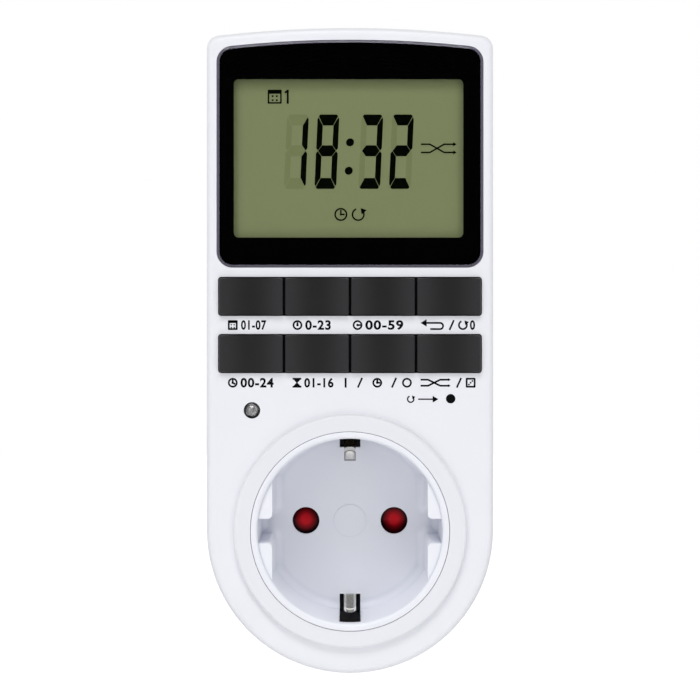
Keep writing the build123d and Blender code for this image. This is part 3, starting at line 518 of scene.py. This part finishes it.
board_tan = circuit_board("power_board_laminate", paint(150, 112, 60), paint(176, 134, 76), 0.8 * mm)
window_clear = clear_pane()
display_olive = lcd_glass()
segment_black = lcd_ink("segment_on", paint(2, 4, 1), paint(5, 8, 3))
segment_faint = lcd_ink("segment_off", paint(119, 126, 88), paint(122, 129, 91))
print_black = lcd_ink("print_ink", paint(10, 10, 12), paint(18, 18, 20))
rubber_layers = striped_rubber()
capacitor_sleeve = can_sleeve()
diode_black = diode_body()
resin_clear = lamp_resin()
bead_nickel = metal("rolled_nickel", paint(246, 245, 240), paint(228, 226, 218), 0.34)
# Nickel of the upper bead: darker than the lower bead's as painted shade, and a little duller
shaded_nickel = metal("shaded_nickel", paint(172, 170, 168), paint(140, 138, 138), 0.4)


def dress(finish, *names):
    """Gives CAD nodes a finish."""
    for name in names:
        for slot in nodes[name].material_slots:
            slot.material = finish.material


dress(housing_white, "front_cover", "rear_cover")
dress(insert_white, "socket_insert")
dress(shutter_red, "shutter")
dress(key_black, *[row + str(number) for row in ("upper_key_", "lower_key_") for number in (1, 2, 3, 4)])
dress(mat_grey, "keypad_mat")
dress(mask_black, "window_mask")
dress(window_clear, "display_window")
dress(display_olive, "lcd_panel")
dress(reflector_foil, "lcd_reflector")
dress(holder_white, "lcd_holder")
dress(rubber_layers, "contact_strip")
dress(carrier_plastic, "contact_carrier")
dress(relay_blue, "relay")
dress(film_yellow, "film_capacitor")
dress(varistor_blue, "varistor")
dress(battery_green, "backup_battery")
dress(fuse_ceramic, "fuse")
dress(header_black, "board_header")
dress(chip_black, "chip_cover")
dress(switch_black, "reset_switch", "reset_button")
dress(nickel, "live_pin", "neutral_pin", "plug_earth_strap")
dress(finger_nickel, "socket_earth_strap")
dress(brass, "live_contact", "neutral_contact", "earth_rivet")
dress(tinned_strip, "live_strap", "neutral_strap")
dress(spring_steel, "shutter_spring")
dress(screw_steel, "case_screws", "board_screws")
dress(crystal_can, "quartz_crystal")
dress(board_green, "logic_board")
dress(board_tan, "power_board")
dress(capacitor_sleeve, "can_capacitor")
dress(diode_black, "rectifier_diodes")
dress(resin_clear, "status_lamp")


def add_piece(name, mesh, finish, body="housing"):
    """A new piece of the object that moves with a CAD body."""
    piece = bpy.data.objects.new(name, mesh)
    scene.collection.objects.link(piece)
    mesh.materials.clear()
    mesh.materials.append(finish.material)
    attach(piece, body)


def mesh_from(work, name):
    """Finished mesh of a bmesh, which is freed."""
    mesh = bpy.data.meshes.new(name)
    work.to_mesh(mesh)
    work.free()
    return mesh


def circle_turns(steps):
    """Angles of the corners of a regular polygon."""
    return [2 * math.pi * step / steps for step in range(steps)]


class Sketch:
    """Flat shapes in X and Z that become one thin printed piece."""

    def __init__(self):
        self.shapes = []

    def polygon(self, *points):
        """Filled outline."""
        self.shapes.append([Vector(point) for point in points])

    def bar(self, start, end, width):
        """Straight stroke between two points."""
        start, end = Vector(start), Vector(end)
        side = (end - start).orthogonal().normalized() * width / 2
        self.polygon(start - side, end - side, end + side, start + side)

    def path(self, points, width):
        """Strokes through points, with a round dot at each bend."""
        for start, end in zip(points, points[1:]):
            self.bar(start, end, width)
        for bend_shade in points[1:-1]:
            self.dot(bend_shade, width / 2)

    def dot(self, centre, radius):
        """Filled disc."""
        x, z = centre
        self.polygon(*[(x + radius * math.cos(t), z + radius * math.sin(t)) for t in circle_turns(dot_sides)])

    def arc(self, centre, radius, width, start=0, end=360, steps=32):
        """Curved stroke from start to end, in degrees."""
        def rim(reach, step):
            turn = math.radians(start + (end - start) * step / steps)
            return (centre[0] + reach * math.cos(turn), centre[1] + reach * math.sin(turn))

        inner, outer = radius - width / 2, radius + width / 2
        for step in range(steps):
            self.polygon(rim(inner, step), rim(outer, step), rim(outer, step + 1), rim(inner, step + 1))

    def arrow_head(self, tip, angle, size):
        """Filled triangle that points at the angle, in degrees."""
        ahead = Vector((math.cos(math.radians(angle)), math.sin(math.radians(angle))))
        side = Vector((-ahead.y, ahead.x)) * size * 0.6
        back = Vector(tip) - ahead * size
        self.polygon(tip, back + side, back - side)

    def piece(self, name, back_y, finish, lean=0.0, middle_z=0.0):
        """Makes the shapes into one closed piece, as thick as the ink, that stands out from back_y."""
        work = bmesh.new()
        for shape in self.shapes:
            corners = [work.verts.new((p.x + lean * (p.y - middle_z), back_y, p.y)) for p in shape]
            work.faces.new(corners)
        bmesh.ops.remove_doubles(work, verts=work.verts, dist=weld_distance)
        bmesh.ops.recalc_face_normals(work, faces=work.faces)
        for face in work.faces:
            if face.normal.y > 0:
                face.normal_flip()
        front = list(work.faces)
        raised = bmesh.ops.extrude_face_region(work, geom=front, use_keep_orig=True)
        moved = [item for item in raised["geom"] if isinstance(item, bmesh.types.BMVert)]
        bmesh.ops.translate(work, verts=moved, vec=(0, -ink_thickness, 0))
        bmesh.ops.recalc_face_normals(work, faces=work.faces)
        add_piece(name, mesh_from(work, name), finish)


# Which of the seven segments each shown digit lights: top, middle, bottom, then the four uprights
lit_segments = {
    "1": "pq",
    "8": "tmblpxq",
    "3": "tmbpq",
    "2": "tmbpx",
}


def digit_segments(centre_x):
    """The seven segments of one digit, upright: t, m, b across, l and x left, p and q right."""
    half_width, half_height = digit_width / 2, digit_height / 2
    inner = half_width - upright_bar
    outer = half_width - flat_end_cut
    half_bar = flat_bar / 2
    middle_end = half_width - middle_end_cut

    def place(*points):
        return [(centre_x + x, digit_middle_z + z) for x, z in points]

    def upright(side, level):
        return place(
            (side * half_width, level * (half_height - upright_side_cut)),
            (side * (half_width - upright_tip_inset), level * (half_height - upright_tip_cut)),
            (side * inner, level * (half_height - flat_bar - segment_gap)),
            (side * inner, middle_lift + level * (half_bar + segment_gap)),
            (side * (middle_end + segment_gap), middle_lift + level * segment_gap),
            (side * half_width, middle_lift + level * upright_tip_cut),
        )

    def flat(level):
        return place(
            (-outer, level * (half_height - flat_corner_cut)),
            (flat_corner_cut - outer, level * half_height),
            (outer - flat_corner_cut, level * half_height),
            (outer, level * (half_height - flat_corner_cut)),
            (inner - segment_gap, level * (half_height - flat_bar)),
            (-inner + segment_gap, level * (half_height - flat_bar)),
        )

    return {
        "t": flat(1),
        "b": flat(-1),
        "m": place(
            (-middle_end, middle_lift),
            (-inner + segment_gap, middle_lift + half_bar),
            (inner - segment_gap, middle_lift + half_bar),
            (middle_end, middle_lift),
            (inner - segment_gap, middle_lift - half_bar),
            (-inner + segment_gap, middle_lift - half_bar),
        ),
        "l": upright(-1, 1),
        "x": upright(-1, -1),
        "p": upright(1, 1),
        "q": upright(1, -1),
    }


def display_time():
    """Lit and unlit segments of the four digits and the colon."""
    lit, unlit = Sketch(), Sketch()
    places = (second_digit_x - digit_pitch, second_digit_x, fourth_digit_x - digit_pitch, fourth_digit_x)
    for digit, centre_x in zip("1832", places):
        for label, outline in digit_segments(centre_x).items():
            target = lit if label in lit_segments[digit] else unlit
            target.polygon(*outline)
    for level in (-1, 1):
        lit.dot((colon_x, colon_middle_z + level * colon_spread / 2), colon_radius)
    print_y = lcd_low.y - ink_lift
    lit.piece("display_digits", print_y, segment_black, digit_slant, digit_middle_z)
    unlit.piece("display_unlit_segments", print_y, segment_faint, digit_slant, digit_middle_z)


def clock_face(sketch, centre, radius, width, *hands):
    """Ring with hands, each an angle in degrees and a share of the radius."""
    sketch.arc(centre, radius - width / 2, width)
    for angle, share in hands:
        turn = math.radians(angle)
        tip = (centre[0] + radius * share * math.cos(turn), centre[1] + radius * share * math.sin(turn))
        sketch.bar(centre, tip, width)
    sketch.dot(centre, width * 0.7)


def loop_arrow(sketch, centre, radius, width):
    """Nearly closed ring that ends in an arrow head."""
    sketch.arc(centre, radius - width / 2, width, 110, 400)
    turn = math.radians(40)
    reach = radius - width / 2
    tip_x = centre[0] + reach * math.cos(turn) - radius * 0.3
    tip_z = centre[1] + reach * math.sin(turn) + radius * 0.42
    sketch.arrow_head((tip_x, tip_z), 130, radius * 0.85)


def shuffle_arrows(sketch, centre, width, height, stroke):
    """Two arrows that cross."""
    left, right = centre[0] - width / 2, centre[0] + width / 2
    for level in (-1, 1):
        start_z, end_z = centre[1] + level * height / 2, centre[1] - level * height / 2
        head = height * 0.42
        points = [
            (left, start_z), (left + width * 0.25, start_z), (right - width * 0.35, end_z),
            (right - head, end_z),
        ]
        sketch.path(points, stroke)
        sketch.arrow_head((right, end_z), 0, head)


def slash(sketch, x, level, half, stroke):
    """Leaning stroke between two signs."""
    sketch.bar((x - slash_lean, level - half), (x + slash_lean, level + half), stroke)


def square_outline(sketch, centre, half, stroke):
    """Square frame that reaches half to each side."""
    inset = half - stroke / 2
    corners = [(-1, -1), (1, -1), (1, 1), (-1, 1), (-1, -1)]
    sketch.path([(centre[0] + x * inset, centre[1] + z * inset) for x, z in corners], stroke)
    sketch.dot((centre[0] - inset, centre[1] - inset), stroke / 2)


def calendar_sheet(sketch, centre, size, stroke):
    """Square outline with a band at its top and four marks."""
    half = size / 2
    square_outline(sketch, centre, half, stroke)
    band_z = centre[1] + half * 0.62
    sketch.bar((centre[0] - half, band_z), (centre[0] + half, band_z), size * 0.2)
    mark = size * 0.13
    for x in (-1, 1):
        for z in (-0.5, 0.08):
            place = (centre[0] + x * half * 0.3, centre[1] + z * half)
            sketch.bar((place[0] - mark / 2, place[1]), (place[0] + mark / 2, place[1]), mark)


def hourglass(sketch, centre, width, height, stroke):
    """Two triangles, tip to tip, between two bars."""
    x, z = centre
    for level in (-1, 1):
        top = z + level * height / 2
        bar_z = top - level * stroke / 2
        glass_z = top - level * stroke
        sketch.bar((x - width / 2, bar_z), (x + width / 2, bar_z), stroke)
        sketch.polygon(
            (x - width * 0.38, glass_z),
            (x + width * 0.38, glass_z),
            (x + stroke * 0.3, z),
            (x - stroke * 0.3, z),
        )


def number_print(name, words, left, right, middle_z, back_y):
    """Plain numbers, printed bold between two places."""
    height = label_height
    text = bpy.data.curves.new(name, "FONT")
    text.body = words
    text.size = height / number_height_share
    text.offset = bold_share * height
    text.space_character = letter_spacing
    text.extrude = ink_thickness / 2
    text.resolution_u = 4
    label = bpy.data.objects.new(name, text)
    scene.collection.objects.link(label)
    bpy.context.view_layer.update()
    mesh = bpy.data.meshes.new_from_object(label.evaluated_get(bpy.context.evaluated_depsgraph_get()))
    bpy.data.objects.remove(label)
    across = [vertex.co.x for vertex in mesh.vertices]
    up = [vertex.co.y for vertex in mesh.vertices]
    stretch = (right - left) / (max(across) - min(across))
    lift = height / (max(up) - min(up))
    mesh.transform(Matrix.Translation((left, back_y - ink_thickness / 2, middle_z - height / 2))
                   @ Matrix.Rotation(math.pi / 2, 4, "X")
                   @ Matrix.Diagonal((stretch, lift, 1, 1))
                   @ Matrix.Translation((-min(across), -min(up), 0)))
    add_piece(name, mesh, print_black)


def upper_labels(print_y):
    """Under the upper keys: a calendar, two clocks, a way back and a loop, with their numbers."""
    half, stroke = label_height / 2, label_stroke
    level = upper_label_z
    first, second, third, last = column_left
    sketch = Sketch()
    calendar_sheet(sketch, (first + half, level), label_height, stroke)
    number_print("week_numbers", "01-07", first + 2.7 * mm, -17.2 * mm, level, print_y)
    clock_face(sketch, (second + half, level), half, stroke, (90, 0.6))
    number_print("hour_numbers", "0-23", second + 2.6 * mm, -3.95 * mm, level, print_y)
    clock_face(sketch, (third + half, level), half, stroke, (0, 0.78))
    number_print("minute_numbers", "00-59", third + 2.6 * mm, 10.95 * mm, level, print_y)
    bend_x = last + 4.0 * mm
    high, low = level + half * 0.45, level - half + stroke / 2
    sketch.path([(last + 0.9 * mm, high), (bend_x, high)], stroke)
    sketch.arc((bend_x, (high + low) / 2), (high - low) / 2, stroke, -90, 90, 16)
    sketch.path([(bend_x, low), (bend_x - 2.0 * mm, low)], stroke)
    sketch.arrow_head((last, high), 180, 1.25 * mm)
    slash(sketch, last + 6.4 * mm, level, half, stroke)
    loop_arrow(sketch, (last + 8.7 * mm, level), half, stroke)
    sketch.piece("upper_key_pictograms", print_y, print_black)
    number_print("start_number", "0", last + 10.15 * mm, last + 11.2 * mm, level, print_y)


def lower_labels(print_y):
    """Under the lower keys: a clock, an hourglass, three states, crossed arrows and a die."""
    half, stroke = label_height / 2, label_stroke
    level = lower_label_z
    first, second, _, last = column_left
    sketch = Sketch()
    clock_face(sketch, (first + half, level), half, stroke, (90, 0.75), (-30, 0.6))
    number_print("clock_numbers", "00-24", first + 2.6 * mm, -15.7 * mm, level, print_y)
    hourglass(sketch, (second + 0.9 * mm, level), 1.8 * mm, label_height, stroke)
    number_print("program_numbers", "01-16", second + 2.4 * mm, -3.4 * mm, level, print_y)
    sketch.bar((-0.9 * mm, level - half), (-0.9 * mm, level + half), stroke * 1.1)
    for slash_x in (2.05 * mm, 9.05 * mm):
        slash(sketch, slash_x, level, half, stroke)
    clock_face(sketch, (5.6 * mm, level), half, stroke, (90, 0.7), (0, 0.6))
    sketch.arc((11.7 * mm, level), half - stroke / 2, stroke)
    shuffle_arrows(sketch, (last + 3.1 * mm, level), 6.2 * mm, label_height * 0.62, stroke)
    slash(sketch, last + 7.9 * mm, level, half, stroke)
    die_x = last + 10.3 * mm
    square_outline(sketch, (die_x, level), half, stroke)
    for share in (-0.36, 0.0, 0.36):
        sketch.dot((die_x + share * half, level + share * half), stroke * 0.5)
    sketch.piece("lower_key_pictograms", print_y, print_black)


def reset_label(print_y):
    """Beside the reset hole: a loop and an arrow that points at the hole."""
    half, stroke = reset_label_height / 2, reset_stroke
    left = 11.7 * mm
    sketch = Sketch()
    loop_arrow(sketch, (left + half, reset_label_z), half, stroke)
    sketch.bar((left + 2.3 * mm, reset_label_z), (left + 5.6 * mm, reset_label_z), stroke)
    sketch.arrow_head((left + 6.45 * mm, reset_label_z), 0, 1.15 * mm)
    sketch.piece("reset_pictogram", print_y, print_black)


def display_signs():
    """Small signs of the display: a calendar and a 1, crossed arrows, a clock and a loop."""
    signs = Sketch()
    calendar_sheet(signs, (-15.6 * mm, day_z), 2.9 * mm, sign_stroke)
    signs.bar((day_number_x, day_z - 1.45 * mm), (day_number_x, day_z + 1.45 * mm), 0.42 * mm)
    signs.bar((day_number_x, day_z + 1.3 * mm), (-13.5 * mm, day_z + 0.8 * mm), 0.36 * mm)
    shuffle_arrows(signs, (18.4 * mm, 78.9 * mm), 7.4 * mm, 1.7 * mm, sign_stroke)
    clock_face(signs, (-1.9 * mm, state_z), state_radius, sign_stroke, (90, 0.7), (0, 0.6))
    loop_arrow(signs, (1.7 * mm, state_z), state_radius, sign_stroke)
    signs.piece("display_signs", lcd_low.y - ink_lift, segment_black)


def lathe(name, profile, steps):
    """Mesh turned about the Y axis from pairs of a radius and a Y."""
    work = bmesh.new()
    turns = circle_turns(steps)
    rings = []
    for radius, y in profile:
        if radius < weld_distance:
            rings.append([work.verts.new((0, y, 0))])
        else:
            rings.append([work.verts.new((radius * math.cos(t), y, radius * math.sin(t))) for t in turns])
    for first, second in zip(rings, rings[1:]):
        for step in range(steps):
            after = (step + 1) % steps
            corners = [first[step % len(first)], first[after % len(first)]]
            corners += [second[after % len(second)], second[step % len(second)]]
            work.faces.new(list(dict.fromkeys(corners)))
    bmesh.ops.remove_doubles(work, verts=work.verts, dist=weld_distance)
    bmesh.ops.recalc_face_normals(work, faces=work.faces)
    for face in work.faces:
        face.smooth = True
    return mesh_from(work, name)


def lamp_inside():
    """Reflector cup and post that show through the lamp's resin, and a dark ring in the gap round it that
    stands for the shade there, a painted shade.

    Each is turned from pairs of a radius and a depth behind front_y, and stands aside, all in mm.
    """
    middle_x = (lamp_low.x + lamp_high.x) / 2
    middle_z = (lamp_low.z + lamp_high.z) / 2
    cup_y = lamp_low.y + lamp_cup_depth
    cup = ((0.0, 0.25), (0.24, 0.25), (0.46, 0.0), (0.56, 0.0), (0.56, 0.9), (0.3, 1.8), (0.0, 1.8))
    post = ((0.0, -0.1), (0.16, -0.1), (0.2, 0.5), (0.34, 1.8), (0.0, 1.8))
    # The ring is painted shade: a dark ring in the gap round the lamp, where the hole's shade falls
    gap_shade_ring = ((1.42, 0.62), (1.69, 0.55), (1.69, 1.3), (1.52, 1.3), (1.52, 0.95), (1.42, 0.62))
    for name, profile, front_y, aside, steps, finish in (
        ("lamp_cup", cup, cup_y, -0.15, 48, lead_frame_metal),
        ("lamp_post", post, cup_y, 0.85, 16, lead_frame_metal),
        ("lamp_gap_shade", gap_shade_ring, face_y, 0.0, 48, header_black),
    ):
        mesh = lathe(name, [(radius * mm, front_y + depth * mm) for radius, depth in profile], steps)
        mesh.transform(Matrix.Translation((middle_x + aside * mm, 0, middle_z)))
        add_piece(name, mesh, finish)


def round_bead(name, points, outward):
    """Closed round bead along points, with outward at right angles to its path."""
    work = bmesh.new()
    turns = circle_turns(bead_sides)
    rings = []
    for index, point in enumerate(points):
        ahead = (points[min(index + 1, len(points) - 1)] - points[max(index - 1, 0)]).normalized()
        across = ahead.cross(outward)
        places = [point + bead_radius * (math.cos(t) * outward + math.sin(t) * across) for t in turns]
        rings.append([work.verts.new(place) for place in places])
    for first, second in zip(rings, rings[1:]):
        for side in range(bead_sides):
            after = (side + 1) % bead_sides
            work.faces.new([first[side], first[after], second[after], second[side]])
    work.faces.new(rings[0])
    work.faces.new(rings[-1])
    bmesh.ops.recalc_face_normals(work, faces=work.faces)
    for face in work.faces:
        face.smooth = True
    return mesh_from(work, name)


def finger_beads():
    """Rolled edge on the slope of each earth finger, down one side, round the tip and up the other."""
    front_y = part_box("socket_earth_strap")[0].y
    tip = tip_bend_radius + bead_radius
    line = [(-bead_side_x, bead_length), (-bead_side_x, bead_length / 2), (-bead_side_x, tip)]
    for corner, first_turn in ((-1, 180), (1, 90)):
        for step in range(tip_bend_steps + 1):
            turn = math.radians(first_turn - 90 / tip_bend_steps * step)
            x = corner * tip_flat_half + tip_bend_radius * math.cos(turn)
            line.append((x, tip - tip_bend_radius * math.sin(turn)))
    line += [(bead_side_x, tip), (bead_side_x, bead_length / 2), (bead_side_x, bead_length)]
    down_y, inward = math.cos(finger_slope), math.sin(finger_slope)
    for name, side, finish in (
        ("upper_finger_bead", 1, shaded_nickel),
        ("lower_finger_bead", -1, bead_nickel),
    ):
        outward = Vector((0, -inward, -side * down_y))
        points = []
        for x, along in line:
            reach = finger_tip_radius - along * inward
            points.append(Vector((x, front_y + along * down_y, side * reach)))
        distinct = [points[0]] + [b for a, b in zip(points, points[1:]) if (b - a).length > least_bead_step]
        add_piece(name, round_bead(name, distinct, outward), finish)


def finger_pad():
    """Rounded pad on the slope of the upper earth finger."""
    front_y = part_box("socket_earth_strap")[0].y
    outward = Vector((0, -math.sin(finger_slope), -math.cos(finger_slope)))
    down = Vector((0, math.cos(finger_slope), -math.sin(finger_slope)))
    centre = Vector((0, front_y, finger_tip_radius)) + down * pad_down_slope
    turns = [math.pi * step / pad_rings for step in range(pad_rings + 1)]
    pad = lathe("upper_finger_pad", [(math.sin(turn), math.cos(turn)) for turn in turns], 32)
    axes = Matrix((
        (1, outward.x, down.x, centre.x),
        (0, outward.y, down.y, centre.y),
        (0, outward.z, down.z, centre.z),
        (0, 0, 0, 1),
    ))
    pad.transform(axes @ Matrix.Diagonal((*pad_half_sizes, 1.0)))
    add_piece("upper_finger_pad", pad, bead_nickel)


display_time()
display_signs()
for label in (upper_labels, lower_labels, reset_label):
    label(face_y - ink_lift)
lamp_inside()
finger_beads()
finger_pad()


def make_camera():
    """Level camera with its picture shifted to the photograph's."""
    data = bpy.data.cameras.new("photo_camera")
    data.sensor_width = sensor_width
    data.lens = sensor_width * pixels_per_metre * camera_distance / photo_width
    data.shift_y = (level_row - photo_middle_row) / photo_width
    data.clip_start = 0.01
    camera = bpy.data.objects.new("photo_camera", data)
    camera.location = (0, face_y - camera_distance, camera_height)
    camera.rotation_euler = (math.pi / 2, 0, 0)
    scene.collection.objects.link(camera)
    scene.camera = camera


def softbox(name, place, width, height, watts):
    """Rectangular lamp that faces the middle of the object."""
    data = bpy.data.lights.new(name, "AREA")
    data.shape = "RECTANGLE"
    data.size, data.size_y = width, height
    data.energy = watts
    lamp = bpy.data.objects.new(name, data)
    lamp.location = place
    target = (cad_low + cad_high) / 2
    lamp.rotation_euler = (target - Vector(place)).to_track_quat("-Z", "Y").to_euler()
    lamp.visible_camera = False
    scene.collection.objects.link(lamp)


def make_world():
    """White for the camera, ambient light for the rest, and for gloss dark where the camera stands."""
    world = bpy.data.worlds.new("studio")
    scene.world = world
    world.use_nodes = True
    tree = world.node_tree

    def maths(operation, *values):
        return add_node(tree, "Math", dict(enumerate(values)), operation=operation).outputs[0]

    rays = add_node(tree, "LightPath").outputs
    direction = add_node(tree, "TexCoord").outputs["Generated"]
    depth = add_node(tree, "SeparateXYZ", {"Vector": direction}).outputs["Y"]
    fade = {"Value": depth, "From Min": -0.8, "From Max": -0.2, "To Min": 0.015}
    glossy = maths("MULTIPLY", rays["Is Glossy Ray"], add_node(tree, "MapRange", fade).outputs[0])
    plain = maths("SUBTRACT", 1.0, rays["Is Glossy Ray"])
    soft = maths("MULTIPLY_ADD", plain, ambient_light, glossy)
    seen = maths("MAXIMUM", rays["Is Camera Ray"], rays["Is Transmission Ray"])
    background = tree.nodes["Background"]
    background.inputs["Color"].default_value = (1.0, 1.0, 1.0, 1.0)
    tree.links.new(maths("MAXIMUM", seen, soft), background.inputs["Strength"])


def make_floor():
    """Pale floor well below the object, white to the camera except where the object shades it."""
    material = bpy.data.materials.new("studio_floor")
    material.use_nodes = True
    tree = material.node_tree
    tree.nodes.remove(tree.nodes["Principled BSDF"])
    rays = add_node(tree, "LightPath").outputs
    seen_inputs = {0: rays["Is Camera Ray"], 1: rays["Is Transmission Ray"]}
    seen = add_node(tree, "Math", seen_inputs, operation="MAXIMUM").outputs[0]
    plain = add_node(tree, "BsdfDiffuse", {"Color": (floor_tone, floor_tone, floor_tone, 1.0)}).outputs[0]
    glow = add_node(tree, "Emission", {"Strength": floor_glow}).outputs[0]
    both = add_node(tree, "AddShader", {0: plain, 1: glow}).outputs[0]
    choice = add_node(tree, "MixShader", {0: seen, 1: plain, 2: both}).outputs[0]
    tree.links.new(choice, tree.nodes["Material Output"].inputs["Surface"])
    half, level = floor_half_size, floor_z
    mesh = bpy.data.meshes.new("studio_floor")
    corners = [(-half, -half, level), (half, -half, level), (half, half, level), (-half, half, level)]
    mesh.from_pydata(corners, [], [(0, 1, 2, 3)])
    mesh.materials.append(material)
    floor = bpy.data.objects.new("studio_floor", mesh)
    scene.collection.objects.link(floor)


make_camera()
for box in softboxes:
    softbox(*box)
make_world()
make_floor()
scene.view_settings.view_transform = "Standard"
